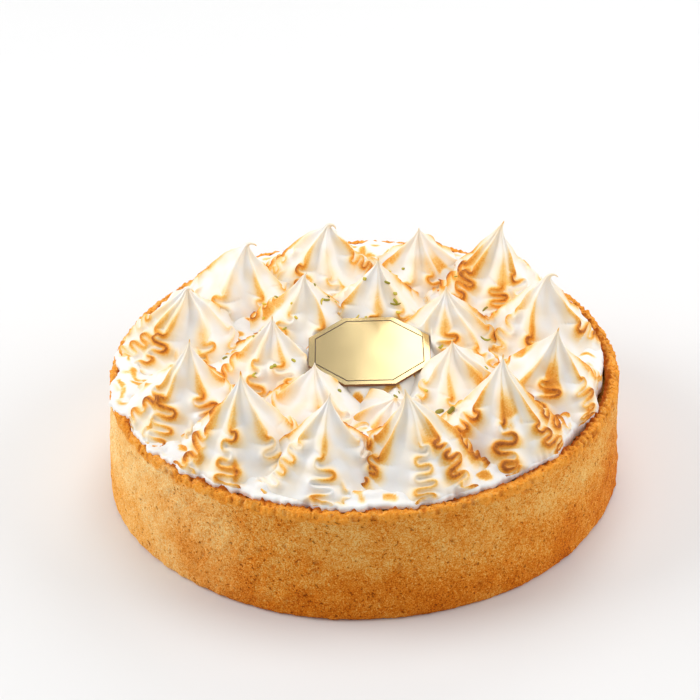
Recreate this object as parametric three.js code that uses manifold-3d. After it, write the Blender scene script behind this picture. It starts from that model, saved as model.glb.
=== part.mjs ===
// A deep lemon meringue pie: a straight-sided shortcrust shell, filled to its rim
// and covered with piped, torched meringue kisses, with a gold octagonal card on top.
// Millimetres, +Z up. The origin is the centre of the foot, on the surface it stands on.

import * as THREE from 'three';
import { mergeVertices } from 'three/addons/utils/BufferGeometryUtils.js';
import Module from 'manifold-3d';

const wasm = await Module();
wasm.setup();

// Driving dimensions
const CRUST_HEIGHT = 56;
const RIM_RADIUS = 120; // outside of the shell, at the top
const FOOT_RADIUS = 121.5; // the shell settles a little at the foot
const RIM_WIDTH = 6.2;
const RIM_CRUMBLE = 0.7; // how far the torn rim rises and falls
const RECESS_DEPTH = 8; // how far the meringue goes down inside the rim
const GAP = 0.35; // clearance between neighbouring pieces
const BED_RISE = 3; // the meringue's bed domes this far above the rim
const BED_SLOPE = 9; // width of the slope from the rim up to the bed's flat middle
const FLUTES = 8; // ridges left by the star nozzle
const FLUTE_DEPTH = 4.2;
const FLUTE_SWING = 0.17; // how far a ridge buckles sideways near the foot, in ridge spacings
const KISS_SINK = 2; // how far a kiss goes down into the bed's lowest part
const CARD_ACROSS_FLATS = 57;
const CARD_THICKNESS = 1.2;
const CARD_CHAMFER = 0.25;
const CARD_CENTRE = new THREE.Vector2(3, -5);
const CARD_LIFT = 10; // underside of the card above the rim
const CARD_TILT = 1; // degrees, down towards the front
const ZEST_COUNT = 36;
const ZEST_SIZE = new THREE.Vector3(2.5, 1.2, 1.1);
const ZEST_NEAREST = 24; // distance of the innermost flecks from the middle
const ZEST_SPREAD = 62; // how much farther out the outermost flecks lie
const ZEST_HIGHEST = 28; // flecks don't lie on the kisses' tips, above this height over the rim

const RIM_INNER_RADIUS = RIM_RADIUS - RIM_WIDTH;
const RECESS_RADIUS = RIM_INNER_RADIUS - 0.4;
const RECESS_FLOOR = CRUST_HEIGHT - RECESS_DEPTH;

// The kisses, as they were piped by hand. turn: azimuth of the base, in degrees from +X;
// out: distance of the base from the middle; tall: height above the rim; wide: base radius;
// lean: sideways reach of the tip; towards: where it leans; hook: how far the tip curls over.
const OUTER_KISSES = [
  { turn: 341, out: 89, tall: 38, wide: 29, lean: 5, towards: 335, hook: 0 },
  { turn: 13, out: 88, tall: 40, wide: 29, lean: 3, towards: 10, hook: 130 },
  { turn: 43, out: 89, tall: 42, wide: 29, lean: 4, towards: 20, hook: 20 },
  { turn: 70, out: 85, tall: 31, wide: 28, lean: 3, towards: 270, hook: 0 },
  { turn: 103, out: 84, tall: 36, wide: 29, lean: 4, towards: 350, hook: 150 },
  { turn: 135, out: 86, tall: 38, wide: 29, lean: 7, towards: 0, hook: 110 },
  { turn: 163, out: 89, tall: 35, wide: 30, lean: 4, towards: 320, hook: 120 },
  { turn: 204, out: 88, tall: 38, wide: 30, lean: 3, towards: 30, hook: 0 },
  { turn: 232, out: 87, tall: 41, wide: 29, lean: 2, towards: 90, hook: 0 },
  { turn: 258, out: 86, tall: 39, wide: 28, lean: 4, towards: 30, hook: 0 },
  { turn: 285, out: 86, tall: 40, wide: 29, lean: 5, towards: 160, hook: 0 },
  { turn: 314, out: 87, tall: 42, wide: 29, lean: 4, towards: 75, hook: 0 },
];
const INNER_KISSES = [
  { turn: 22, out: 43, tall: 32, wide: 28, lean: 1, towards: 90, hook: 0 },
  { turn: 80, out: 43, tall: 34, wide: 28, lean: 1, towards: 0, hook: 0 },
  { turn: 132, out: 44, tall: 33, wide: 28, lean: 2, towards: 0, hook: 30 },
  { turn: 188, out: 43, tall: 32, wide: 28, lean: 1, towards: 0, hook: 0 },
  { turn: 241, out: 47, tall: 27, wide: 28, lean: 2, towards: 60, hook: 0 },
  { turn: 286, out: 47, tall: 13, wide: 26, lean: 3, towards: 300, hook: 0 },
  { turn: 328, out: 50, tall: 30, wide: 28, lean: 2, towards: 200, hook: 0 },
];
// Where the soft base of the outermost kisses has sagged over the rim.
const SPILLS = [
  { turn: 192, out: 106, half: [12.5, 19, 6] },
  { turn: 172, out: 106, half: [11, 14, 5] },
  { turn: 243, out: 103, half: [10, 17, 5] },
];

const radians = THREE.MathUtils.degToRad;

function seededRandom(seed) {
  let state = seed;
  return () => {
    state = (Math.imul(state, 1664525) + 1013904223) >>> 0;
    return state / 4294967296;
  };
}

// A closed geometry with shared vertices and no collapsed triangles.
function closed(geometry) {
  geometry.deleteAttribute('normal');
  geometry.deleteAttribute('uv');
  const merged = mergeVertices(geometry, 1e-3);
  const kept = [];
  const index = merged.index.array;
  for (let i = 0; i < index.length; i += 3) {
    const [a, b, c] = [index[i], index[i + 1], index[i + 2]];
    if (a !== b && b !== c && c !== a) kept.push(a, b, c);
  }
  merged.setIndex(kept);
  return merged;
}

function toSolid(geometry) {
  const merged = closed(geometry);
  return new wasm.Manifold(new wasm.Mesh({
    numProp: 3,
    vertProperties: Float32Array.from(merged.attributes.position.array),
    triVerts: Uint32Array.from(merged.index.array),
  }));
}

// The triangles of the largest connected skin: pockets sealed by fusing are filled, and scraps dropped.
function largestSkin(triangles, vertexCount) {
  const root = Array.from({ length: vertexCount }, (_, i) => i);
  const find = (i) => {
    while (root[i] !== i) {
      root[i] = root[root[i]];
      i = root[i];
    }
    return i;
  };
  for (let i = 0; i < triangles.length; i += 3) {
    root[find(triangles[i + 1])] = find(triangles[i]);
    root[find(triangles[i + 2])] = find(triangles[i]);
  }
  const skins = new Map();
  for (let i = 0; i < triangles.length; i += 3) {
    const key = find(triangles[i]);
    if (!skins.has(key)) skins.set(key, []);
    skins.get(key).push(triangles[i], triangles[i + 1], triangles[i + 2]);
  }
  return [...skins.values()].reduce((best, skin) => (skin.length > best.length ? skin : best));
}

function toGeometry(solid) {
  const mesh = solid.getMesh();
  const geometry = new THREE.BufferGeometry();
  geometry.setAttribute('position', new THREE.BufferAttribute(Float32Array.from(mesh.vertProperties), 3));
  geometry.setIndex(largestSkin(Array.from(mesh.triVerts), mesh.vertProperties.length / 3));
  geometry.computeVertexNormals();
  return closed(geometry);
}

// Turns an outline of [radius, height] pairs round +Z. The outline runs from the
// axis at the bottom, out, up and back to the axis.
function turned(outline, segments) {
  const points = outline.map(([radius, height]) => new THREE.Vector2(radius, height));
  return new THREE.LatheGeometry(points, segments).rotateX(Math.PI / 2);
}

// Moves every vertex by a rule on its position.
function sculpt(geometry, rule) {
  const position = geometry.attributes.position;
  const point = new THREE.Vector3();
  for (let i = 0; i < position.count; i += 1) {
    point.fromBufferAttribute(position, i);
    rule(point);
    position.setXYZ(i, point.x, point.y, point.z);
  }
  return geometry;
}

// Splits each four-sided patch of a turned shape along its shorter diagonal.
function splitShort(geometry) {
  const index = geometry.index;
  const corner = (i) => new THREE.Vector3().fromBufferAttribute(geometry.attributes.position, i);
  for (let i = 0; i < index.count; i += 6) {
    const [a, b, d, c] = [0, 1, 2, 3].map((step) => index.getX(i + step));
    if (corner(a).distanceTo(corner(c)) < corner(b).distanceTo(corner(d))) {
      index.array.set([a, b, c, c, d, a], i);
    }
  }
  return geometry;
}

// An uneven ring value for a torn or hand-made edge: a few waves that close on themselves.
function ripple(angle, counts, phase) {
  let sum = 0;
  counts.forEach((count, i) => {
    sum += Math.sin(count * angle + phase * (i + 1) * 1.7);
  });
  return sum / counts.length;
}

function crustShell() {
  const segments = 144;
  const rimTop = CRUST_HEIGHT - RIM_CRUMBLE;
  const outline = [
    [0, 0],
    [FOOT_RADIUS - 1.4, 0],
    [FOOT_RADIUS, 1.6],
    [FOOT_RADIUS - 0.6, 0.34 * CRUST_HEIGHT],
    [RIM_RADIUS, 0.68 * CRUST_HEIGHT],
    [RIM_RADIUS, rimTop - 2.4],
    [RIM_RADIUS - 1.1, rimTop - 0.5],
    [RIM_RADIUS - RIM_WIDTH / 2, rimTop],
    [RIM_INNER_RADIUS, rimTop - 0.7],
    [RECESS_RADIUS, rimTop - 2.6],
    [RECESS_RADIUS, RECESS_FLOOR],
    [0, RECESS_FLOOR],
  ];
  const shell = turned(outline, segments);
  sculpt(shell, (p) => {
    const radius = Math.hypot(p.x, p.y);
    if (radius < 1) return;
    const angle = Math.atan2(p.y, p.x);
    const torn = ripple(angle, [71, 53, 31], 2.1);
    const settled = ripple(angle, [3, 7, 12], 0.8);
    let push = 0;
    if (p.z > rimTop - 1.2 && radius > RECESS_RADIUS) {
      p.z += RIM_CRUMBLE * torn + 0.35 * settled;
      push = radius < RIM_INNER_RADIUS + 0.5 ? 0.55 * (torn - 1) + 0.6 : 0.25 * torn;
    } else if (radius > RIM_RADIUS - 0.1 && p.z > 4) {
      push = 0.35 * settled - 0.35;
    }
    const scale = (radius + push) / radius;
    p.x *= scale;
    p.y *= scale;
  });
  return closed(shell);
}

// Radius of a kiss as a share of its base radius, at a share of its height below the tip.
// A tip that curls over has been drawn out thin.
function kissProfile(below, hook) {
  const cone = Math.pow(below, 1.4) * (1.6 - 0.6 * below);
  const drawnOut = hook > 60 ? 0.45 * (1 - THREE.MathUtils.smoothstep(below, 0.05, 0.4)) : 0;
  return cone * (1 - drawnOut);
}

// Levels of a kiss, as shares of its height below the tip, and the ridges' sideways
// buckling at each, as a share of the full swing.
const KISS_LEVELS = [
  [1, 0], [0.91, 1], [0.81, -1], [0.7, 1], [0.6, 0], [0.45, 0], [0.3, 0], [0.17, 0], [0.06, 0],
];
const CURLED_TIP_LEVELS = [[0.24, 0], [0.17, 0], [0.11, 0], [0.06, 0], [0.02, 0]];

// A piped kiss, standing on z = 0 with its foot at -KISS_SINK. The nozzle's ridges run
// straight down from the tip and buckle from side to side near the foot.
function kissGeometry({ tall, wide, lean, towards, hook }, phase) {
  const outline = [[0, -KISS_SINK], [wide * 0.96, -KISS_SINK]];
  const levels = hook > 60 ? [...KISS_LEVELS.slice(0, 7), ...CURLED_TIP_LEVELS] : KISS_LEVELS;
  levels.forEach(([below]) => {
    outline.push([wide * kissProfile(below, hook), tall * (1 - below)]);
  });
  outline.push([0, tall]);
  const kiss = turned(outline, FLUTES * 2);
  const pitch = (2 * Math.PI) / FLUTES;
  sculpt(kiss, (p) => {
    const radius = Math.hypot(p.x, p.y);
    if (radius < 1e-3) return;
    const below = THREE.MathUtils.clamp(1 - p.z / tall, 0, 1);
    const [, buckled] = levels.find(([value]) => Math.abs(value - below) < 1e-3);
    const corner = Math.round(Math.atan2(p.y, p.x) / (pitch / 2));
    const crest = corner % 2 === 0 ? 1 : -1;
    const angle = (corner * pitch) / 2 + pitch * FLUTE_SWING * buckled + phase;
    const depth = Math.min(FLUTE_DEPTH, 0.3 * radius);
    const out = radius + (depth * crest) / 2;
    p.x = out * Math.cos(angle);
    p.y = out * Math.sin(angle);
  });
  return splitShort(sculpt(kiss, bendRule(tall, lean, towards, hook)));
}

// Bends an upright kiss: it leans steadily, and its last fifth curls over by the hook angle.
function bendRule(tall, lean, towards, hook) {
  const steps = 40;
  const hookStart = 0.8;
  const leanAngle = Math.atan2(lean, tall / 2);
  const path = [{ out: 0, up: 0, tilt: 0 }];
  for (let i = 1; i <= steps; i += 1) {
    const share = i / steps;
    const curl = THREE.MathUtils.smoothstep(share, hookStart, 1);
    const tilt = leanAngle * share + radians(hook) * curl;
    const last = path[i - 1];
    const step = tall / steps;
    path.push({ out: last.out + step * Math.sin(tilt), up: last.up + step * Math.cos(tilt), tilt });
  }
  const side = new THREE.Vector3(Math.cos(radians(towards)), Math.sin(radians(towards)), 0);
  const across = new THREE.Vector3(-side.y, side.x, 0);
  return (p) => {
    if (p.z <= 0) return;
    const place = Math.min(p.z / tall, 1) * steps;
    const low = path[Math.min(Math.floor(place), steps - 1)];
    const high = path[Math.min(Math.floor(place) + 1, steps)];
    const mix = place - Math.min(Math.floor(place), steps - 1);
    const out = THREE.MathUtils.lerp(low.out, high.out, mix);
    const up = THREE.MathUtils.lerp(low.up, high.up, mix);
    const tilt = THREE.MathUtils.lerp(low.tilt, high.tilt, mix);
    const u = p.dot(side);
    const v = p.dot(across);
    p.copy(side).multiplyScalar(out + u * Math.cos(tilt)).addScaledVector(across, v);
    p.z = up - u * Math.sin(tilt);
  };
}

function onRing(turn, out, height) {
  return new THREE.Vector3(out * Math.cos(radians(turn)), out * Math.sin(radians(turn)), height);
}

function kissSolids() {
  return [...OUTER_KISSES, ...INNER_KISSES].map((kiss, i) => {
    const geometry = kissGeometry(kiss, i * 0.9);
    const base = onRing(kiss.turn, kiss.out, CRUST_HEIGHT);
    return toSolid(geometry.translate(base.x, base.y, base.z));
  });
}

// The bed of meringue that fills the rim and slopes up to the kisses.
function bedSolid() {
  const radius = RECESS_RADIUS - GAP;
  const floor = RECESS_FLOOR + GAP;
  return toSolid(turned([
    [0, floor],
    [radius - 0.6, floor],
    [radius, floor + 0.8],
    [radius, CRUST_HEIGHT - 1.5],
    [radius - 0.14 * BED_SLOPE, CRUST_HEIGHT + 0.2 * BED_RISE],
    [radius - 0.5 * BED_SLOPE, CRUST_HEIGHT + 0.75 * BED_RISE],
    [radius - BED_SLOPE, CRUST_HEIGHT + BED_RISE],
    [0, CRUST_HEIGHT + BED_RISE],
  ], 72));
}

function spillSolid({ turn, out, half }) {
  const centre = onRing(turn, out, CRUST_HEIGHT + 1);
  const blob = new THREE.SphereGeometry(1, 12, 8).rotateX(Math.PI / 2);
  blob.scale(half[0], half[1], half[2]).rotateZ(radians(turn));
  return toSolid(blob.translate(centre.x, centre.y, centre.z));
}

// The squashed kiss that the card lies on.
function seatSolid() {
  const top = CRUST_HEIGHT + CARD_LIFT - GAP;
  const seat = turned([
    [0, CRUST_HEIGHT - 2],
    [24, CRUST_HEIGHT - 2],
    [23.5, CRUST_HEIGHT + 3],
    [20.5, top - 2.4],
    [17, top],
    [0, top],
  ], 20);
  sculpt(seat, (p) => {
    const angle = Math.atan2(p.y, p.x);
    const swell = 1 + 0.05 * Math.cos(10 * angle);
    p.x *= swell;
    p.y *= swell;
  });
  return toSolid(seat.translate(CARD_CENTRE.x, CARD_CENTRE.y, 0));
}

// An octagonal slab standing on z = 0, with flats towards X and Y.
function octagon(acrossFlats, thickness, chamfer) {
  const corner = acrossFlats / 2 / Math.cos(Math.PI / 8);
  const slab = turned([
    [0, 0],
    [corner - chamfer, 0],
    [corner, chamfer],
    [corner, thickness - chamfer],
    [corner - chamfer, thickness],
    [0, thickness],
  ], 8);
  return slab.rotateZ(Math.PI / 8);
}

function placedLikeCard(geometry, drop) {
  geometry.translate(0, 0, -drop);
  geometry.rotateX(radians(CARD_TILT));
  return geometry.translate(CARD_CENTRE.x, CARD_CENTRE.y, CRUST_HEIGHT + CARD_LIFT);
}

// Space kept free for the card, and for laying it down from above.
function cardPocket() {
  const room = 24;
  return toSolid(placedLikeCard(octagon(CARD_ACROSS_FLATS + 2 * GAP, room, 0.1), GAP));
}

// Keeps the meringue off the rim: everything outside the recess, up to just over the crumbs.
function rimClearance() {
  const top = CRUST_HEIGHT + 2 * GAP;
  const inner = RECESS_RADIUS - GAP + 0.05;
  const outer = FOOT_RADIUS + 20;
  const ring = new THREE.LatheGeometry([
    new THREE.Vector2(inner, RECESS_FLOOR - 5),
    new THREE.Vector2(outer, RECESS_FLOOR - 5),
    new THREE.Vector2(outer, top),
    new THREE.Vector2(inner + 0.6, top),
    new THREE.Vector2(inner, top - 2),
    new THREE.Vector2(inner, RECESS_FLOOR - 5),
  ], 96).rotateX(Math.PI / 2);
  return toSolid(ring);
}

// Flecks of lime zest, thickest round the card, each half sunk into the meringue.
function zestSolids(meringue) {
  const random = seededRandom(41);
  const target = new THREE.Mesh(toGeometry(meringue), new THREE.MeshBasicMaterial());
  target.updateMatrixWorld(true);
  const ray = new THREE.Raycaster();
  const down = new THREE.Vector3(0, 0, -1);
  const up = new THREE.Vector3(0, 0, 1);
  const cardReach = CARD_ACROSS_FLATS / 2 + 6;
  const flecks = [];
  while (flecks.length < ZEST_COUNT) {
    const turn = random() * 360;
    const out = ZEST_NEAREST + ZEST_SPREAD * Math.pow(random(), 0.8);
    const spin = random() * Math.PI;
    const size = 0.75 + 0.5 * random();
    const spot = onRing(turn, out, 2 * CRUST_HEIGHT);
    if (Math.hypot(spot.x - CARD_CENTRE.x, spot.y - CARD_CENTRE.y) < cardReach) continue;
    ray.set(spot, down);
    const hit = ray.intersectObject(target)[0];
    if (!hit || hit.face.normal.z < 0.3 || hit.point.z > CRUST_HEIGHT + ZEST_HIGHEST) continue;
    const fleck = new THREE.BoxGeometry(ZEST_SIZE.x * size, ZEST_SIZE.y * size, ZEST_SIZE.z * size);
    fleck.rotateZ(spin);
    fleck.applyQuaternion(new THREE.Quaternion().setFromUnitVectors(up, hit.face.normal));
    flecks.push(toSolid(fleck.translate(hit.point.x, hit.point.y, hit.point.z)));
  }
  return flecks;
}

function meringueSolid() {
  const parts = [bedSolid(), seatSolid(), ...kissSolids(), ...SPILLS.map(spillSolid)];
  const piped = parts.reduce((whole, piece) => whole.add(piece));
  const fitted = piped.subtract(rimClearance()).subtract(cardPocket());
  return zestSolids(fitted).reduce((whole, fleck) => whole.add(fleck), fitted);
}

const crustMaterial = new THREE.MeshStandardMaterial({ color: 0xd9993f, roughness: 0.85, metalness: 0 });
const meringueMaterial = new THREE.MeshStandardMaterial({ color: 0xf8efe0, roughness: 0.5, metalness: 0 });
const cardMaterial = new THREE.MeshStandardMaterial({ color: 0xd9b95c, roughness: 0.15, metalness: 1 });

function named(name, geometry, material) {
  const mesh = new THREE.Mesh(geometry, material);
  mesh.name = name;
  return mesh;
}

const pie = new THREE.Group();
pie.add(named('crust', crustShell(), crustMaterial));
pie.add(named('meringue', toGeometry(meringueSolid()), meringueMaterial));
const card = octagon(CARD_ACROSS_FLATS, CARD_THICKNESS, CARD_CHAMFER);
pie.add(named('card', closed(placedLikeCard(card, 0)), cardMaterial));

export default pie;
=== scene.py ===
# %% [markdown]
# # A lemon meringue pie, piped, torched and photographed
#
# The pie is a deep shortcrust shell, filled to the rim and covered with piped kisses of
# meringue that were browned with a torch. A gold card lies on the kisses in the middle,
# with flecks of lime zest round it.
#
# The frame brings in the plain solids at their real size. Each of them is dressed here with
# a finely shaped piece in the same place, so the looks never move away from the real sizes.

# %% Load the frame
import math

import bpy
import numpy as np
from mathutils import Euler, Matrix, Vector
from mathutils.bvhtree import BVHTree
from mathutils.kdtree import KDTree


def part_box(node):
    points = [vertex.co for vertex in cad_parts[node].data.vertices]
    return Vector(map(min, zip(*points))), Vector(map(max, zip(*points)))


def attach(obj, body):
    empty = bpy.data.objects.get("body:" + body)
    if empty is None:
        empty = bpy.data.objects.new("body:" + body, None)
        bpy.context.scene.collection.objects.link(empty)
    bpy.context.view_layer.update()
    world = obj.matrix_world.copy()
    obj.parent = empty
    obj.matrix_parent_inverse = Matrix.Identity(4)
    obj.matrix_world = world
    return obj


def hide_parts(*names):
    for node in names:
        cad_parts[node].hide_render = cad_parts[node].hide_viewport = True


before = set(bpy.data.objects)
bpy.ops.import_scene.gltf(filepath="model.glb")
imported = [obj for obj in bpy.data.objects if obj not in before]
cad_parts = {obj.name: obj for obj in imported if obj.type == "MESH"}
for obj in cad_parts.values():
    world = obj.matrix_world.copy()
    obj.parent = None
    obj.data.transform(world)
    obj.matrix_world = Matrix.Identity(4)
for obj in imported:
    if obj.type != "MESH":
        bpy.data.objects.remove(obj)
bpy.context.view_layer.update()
scene = bpy.context.scene

MM = 0.001
_, crust_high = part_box("crust")
card_low, card_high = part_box("card")
print("pieces in the frame:", sorted(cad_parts))

# %% [markdown]
# ## Sizes
#
# Lengths are in millimetres here, because that is how a baker measures a tart ring, and MM
# turns them into Blender's metres. The main ones are read from the frame: the width of the
# foot gives the shell's radius, and the rim's height gives the level that the meringue
# stands on. The dough has spread a little at the foot, so the rim is slightly narrower.

# %% Driving sizes
FOOT_SPREAD = 1.5
FOOT_RADIUS = crust_high.x / MM
RIM_RADIUS = FOOT_RADIUS - FOOT_SPREAD
RIM_TOP = round(crust_high.z / MM)
RIM_WIDTH = 6.2
MERINGUE_INSET = 0.7  # how far inside the rim the ring of meringue was piped
MERINGUE_RADIUS = RIM_RADIUS - RIM_WIDTH - MERINGUE_INSET
CARD_UNDERSIDE = card_low.z / MM
CARD_CENTRE = np.array([card_low.x + card_high.x, card_low.y + card_high.y]) / 2 / MM
CARD_ACROSS = (card_high.x - card_low.x) / MM
print(f"shell {2 * FOOT_RADIUS:.0f} mm across and {RIM_TOP:.0f} mm deep, card {CARD_ACROSS:.0f} mm")

# %% [markdown]
# ## Camera
#
# The pie was photographed from the front with a long lens that looked down on it by about a
# third of a right angle. The lens, the tilt and the small sideways shift come from fitting
# the ellipses of the rim and the foot. The whole picture leans a little over one degree, so
# the camera is rolled about its own axis by the same amount.

# %% Camera
CAMERA_DISTANCE = 1000 * MM
CAMERA_ELEVATION = math.radians(32.7)
CAMERA_ROLL = math.radians(1.25)
IMAGE_WIDTH = 700
FOCAL_PIXELS = 2115
TARGET_PIXEL = (363.2, 364.5)  # where the middle of the rim lies in the picture

camera_data = bpy.data.cameras.new("camera")
camera_data.sensor_width = 36
camera_data.lens = FOCAL_PIXELS / IMAGE_WIDTH * camera_data.sensor_width
camera_data.shift_x = (IMAGE_WIDTH / 2 - TARGET_PIXEL[0]) / IMAGE_WIDTH
camera_data.shift_y = (TARGET_PIXEL[1] - IMAGE_WIDTH / 2) / IMAGE_WIDTH
camera_data.clip_end = 20
camera = bpy.data.objects.new("camera", camera_data)
scene.collection.objects.link(camera)
target = Vector((0, 0, RIM_TOP * MM))
backwards = Vector((0, -math.cos(CAMERA_ELEVATION), math.sin(CAMERA_ELEVATION)))
turn = Euler((math.pi / 2 - CAMERA_ELEVATION, 0, 0)).to_matrix()
turn = turn @ Matrix.Rotation(-CAMERA_ROLL, 3, "Z")
camera.matrix_world = Matrix.Translation(target + backwards * CAMERA_DISTANCE) @ turn.to_4x4()
scene.camera = camera
print(f"lens {camera_data.lens:.1f} mm")

# %% [markdown]
# ## Small helpers
#
# An operator acts on everything that is selected, so each piece starts with nothing
# selected. Meshes are read and written as whole arrays, which is how thousands of points
# are moved at once by one rule.

# %% Helpers for meshes
def start_clean():
    """Leaves every object unselected and in object mode."""
    if bpy.context.object and bpy.context.object.mode != "OBJECT":
        bpy.ops.object.mode_set(mode="OBJECT")
    bpy.ops.object.select_all(action="DESELECT")


def points_of(piece):
    """The piece's points, in millimetres."""
    flat = np.empty(len(piece.data.vertices) * 3, np.float32)
    piece.data.vertices.foreach_get("co", flat)
    return flat.reshape(-1, 3).astype(float) / MM


def move_points(piece, points):
    """Writes points in millimetres back to the piece."""
    piece.data.vertices.foreach_set("co", (np.asarray(points) * MM).astype(np.float32).ravel())
    piece.data.update()


def paint(piece, name, values):
    """Keeps one number at each point, for the material to read."""
    layer = piece.data.attributes.get(name) or piece.data.attributes.new(name, "FLOAT", "POINT")
    layer.data.foreach_set("value", np.asarray(values, np.float32).ravel())

# %% [markdown]
# ### Unevenness
#
# Nothing piped or baked has straight edges. Two rules make all the soft changes: smooth
# rises gently from 0 to 1 between two values, and lumps adds up a few waves that run in
# random directions, which gives swells and hollows of any wanted size. The seed keeps them
# the same in every run.

# %% Helpers for uneven shapes
def smooth(low, high, value):
    """Rises from 0 at low to 1 at high with no corners."""
    share = np.clip((np.asarray(value, float) - low) / (high - low), 0, 1)
    return share * share * (3 - 2 * share)


def lumps(points, size, seed, waves=10):
    """Smooth unevenness between about -1 and 1, with humps of about the given size."""
    random = np.random.default_rng(seed)
    headings = random.normal(size=(waves, 3))
    headings /= np.linalg.norm(headings, axis=1)[:, None]
    rates = 2 * math.pi / size * random.uniform(0.6, 1.5, waves)
    starts = random.uniform(0, 2 * math.pi, waves)
    return np.sin(points @ (headings * rates[:, None]).T + starts).sum(axis=1) / math.sqrt(waves)


print("smooth from 0 to 10, at 2, 5 and 8:", smooth(0, 10, [2, 5, 8]).round(2))

# %% [markdown]
# ### Selecting and finishing
#
# Edges are picked by where they lie, as a modeller would pick them with a box. A finished
# piece gets its name and its material and then rides with the pie.

# %% Helpers for selecting and finishing
def select_edges(piece, wanted):
    """Selects exactly the edges that the rule wants, then goes into edit mode."""
    start_clean()
    piece.select_set(True)
    bpy.context.view_layer.objects.active = piece
    points = points_of(piece)
    bpy.ops.object.mode_set(mode="EDIT")
    bpy.ops.mesh.select_mode(type="EDGE")
    bpy.ops.mesh.select_all(action="DESELECT")
    bpy.ops.object.mode_set(mode="OBJECT")
    for edge in piece.data.edges:
        a, b = points[edge.vertices[0]], points[edge.vertices[1]]
        edge.select = bool(wanted(a, b))
    bpy.ops.object.mode_set(mode="EDIT")


def finish_piece(piece, name, material):
    """Names a finished piece, shades it smooth and lets it ride with the pie."""
    if bpy.context.object and bpy.context.object.mode != "OBJECT":
        bpy.ops.object.mode_set(mode="OBJECT")
    piece.name = piece.data.name = name
    piece.data.shade_smooth()
    piece.data.materials.clear()
    piece.data.materials.append(material)
    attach(piece, "root")
    return piece

# %% [markdown]
# ## Shader arithmetic
#
# A material here is written as sums, because a sum on one line is easier to read and to
# change than a picture of joined boxes. The class below wraps the socket of a node and
# gives it plus, minus, times and divide, each of which adds the Math node for it. Each has
# its reflected form, so that a plain number may also come first, as in 1 - mask.

# %% The socket class
class Value:
    """A number that changes over the surface: the output socket of a node."""

    def __init__(self, finish, socket):
        self.finish = finish
        self.socket = socket

    def maths(self, operation, first, second):
        """Adds a Math node that works on two values or numbers."""
        return self.finish.node("ShaderNodeMath", {"operation": operation}, {0: first, 1: second})

    def __add__(self, other):
        return self.maths("ADD", self, other)

    def __radd__(self, other):
        return self.maths("ADD", other, self)

    def __sub__(self, other):
        return self.maths("SUBTRACT", self, other)

    def __rsub__(self, other):
        return self.maths("SUBTRACT", other, self)

    def __mul__(self, other):
        return self.maths("MULTIPLY", self, other)

    def __rmul__(self, other):
        return self.maths("MULTIPLY", other, self)

    def __truediv__(self, other):
        return self.maths("DIVIDE", self, other)

    def __rtruediv__(self, other):
        return self.maths("DIVIDE", other, self)

    def between(self, low, high):
        """0 below low, 1 above high, smooth in between."""
        settings = {"interpolation_type": "SMOOTHSTEP"}
        return self.finish.node("ShaderNodeMapRange", settings, {"Value": self, 1: low, 2: high})

# %% [markdown]
# ### Colours
#
# Colours are picked as they look on a screen and written as six letters and digits. A
# shader reckons in linear light, so they are converted.

# %% Helpers for colours
def from_hex(code):
    """A screen colour such as E0A040 as the linear colour that shaders use."""
    parts = [int(code[i:i + 2], 16) / 255 for i in (0, 2, 4)]
    return tuple(c / 12.92 if c < 0.04045 else ((c + 0.055) / 1.055) ** 2.4 for c in parts) + (1,)


def set_stops(ramp, stops):
    """Gives a colour ramp its stops, each a place and a screen colour."""
    while len(ramp.elements) < len(stops):
        ramp.elements.new(0.5)
    for element, (place, colour) in zip(ramp.elements, stops):
        element.position = place
        element.color = from_hex(colour)


print("amber in linear light:", [round(c, 3) for c in from_hex("E0A040")])

# %% [markdown]
# ### A material
#
# Each finish is one material. All its nodes come from Finish.node, which sets a node's
# settings first and then joins or fills its sockets. The other methods are short names for
# the few kinds of node that the finishes of the pie need.

# %% The material class
class Finish:
    """One material, built as a tree of nodes round a Principled shader."""

    def __init__(self, name):
        self.material = bpy.data.materials.new(name)
        self.material.use_nodes = True
        self.tree = self.material.node_tree
        self.shader = self.tree.nodes["Principled BSDF"]

    def node(self, kind, settings=None, sockets=None, output=0):
        """Adds a node: its settings first, then the values or links of its sockets."""
        node = self.tree.nodes.new(kind)
        for name, value in (settings or {}).items():
            if name == "stops":
                set_stops(node.color_ramp, value)
            else:
                setattr(node, name, value)
        for name, value in (sockets or {}).items():
            self.join(node.inputs[name], value)
        return Value(self, node.outputs[output])

    def join(self, socket, value):
        """Links a value to a socket, or fills the socket with a plain number or colour."""
        if isinstance(value, Value):
            self.tree.links.new(value.socket, socket)
        else:
            socket.default_value = value

    def place(self):
        """The point on the surface, in metres."""
        return self.node("ShaderNodeTexCoord", output="Object")

    def painted(self, name):
        """A number kept at the points of the mesh."""
        return self.node("ShaderNodeAttribute", {"attribute_name": name}, output="Fac")

    def noise(self, size_mm, detail=2.0, roughness=0.5):
        """Cloudy noise between 0 and 1, with clouds of about the given size."""
        sockets = {"Vector": self.place(), "Scale": 1 / (size_mm * MM)}
        sockets |= {"Detail": detail, "Roughness": roughness}
        return self.node("ShaderNodeTexNoise", {}, sockets)

    def ramp(self, value, stops):
        """Turns a number into a colour."""
        return self.node("ShaderNodeValToRGB", {"stops": stops}, {"Fac": value})

    def mix(self, share, first, second):
        """The first colour where the share is 0, the second where it is 1."""
        sockets = {0: share, 6: first, 7: second}
        return self.node("ShaderNodeMix", {"data_type": "RGBA"}, sockets, output=2)

    def bump(self, height, distance_mm, strength=1.0):
        """Fine relief that only the light sees."""
        sockets = {"Height": height, "Distance": distance_mm * MM, "Strength": strength}
        return self.node("ShaderNodeBump", {}, sockets)

    def set(self, **values):
        """Fills or links the Principled shader's sockets, and gives the finished material."""
        for name, value in values.items():
            self.join(self.shader.inputs[name.replace("_", " ")], value)
        return self.material

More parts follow.
